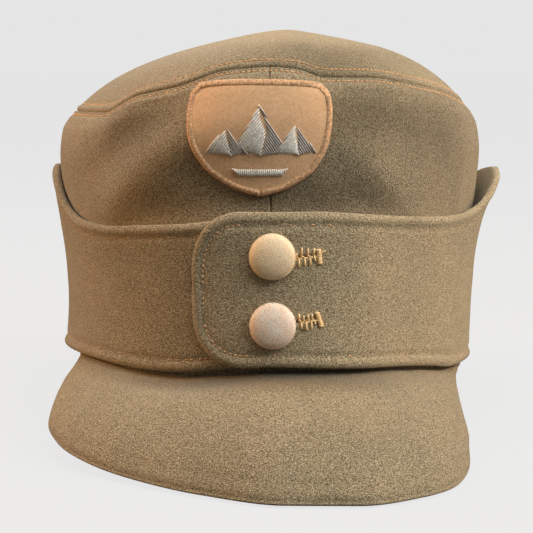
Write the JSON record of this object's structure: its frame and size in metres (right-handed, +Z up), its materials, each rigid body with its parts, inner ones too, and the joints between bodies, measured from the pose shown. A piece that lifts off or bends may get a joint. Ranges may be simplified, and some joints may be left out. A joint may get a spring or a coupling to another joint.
{
  "type": "mountain cap",
  "caption": "Field-grey wool mountain cap with a short peak, and an ear flap turned up round it and buttoned at the front.",
  "frame": {"origin": "on the table the cap rests on, under the middle of its outline", "axes": "the peak points along -Y, +X is the viewer's right as seen from the front, +Z is up from the table; the cap leans back on its rim"},
  "size_m": [0.191, 0.2812, 0.1604],
  "materials": {
    "wool": "felted field-grey wool, matt",
    "badge_cloth": "tan twill with embroidery",
    "button_upper": "pebbled, worn warm beige",
    "button_lower": "pebbled, worn silver"
  },
  "bodies": {
    "root": {"crown_panel_left": "wool", "crown_panel_right": "wool", "crown_top": "wool", "ear_flap": "wool", "peak": "wool", "badge": "badge_cloth", "button_upper": "button_upper", "button_lower": "button_lower"}
  },
  "joints": []
}
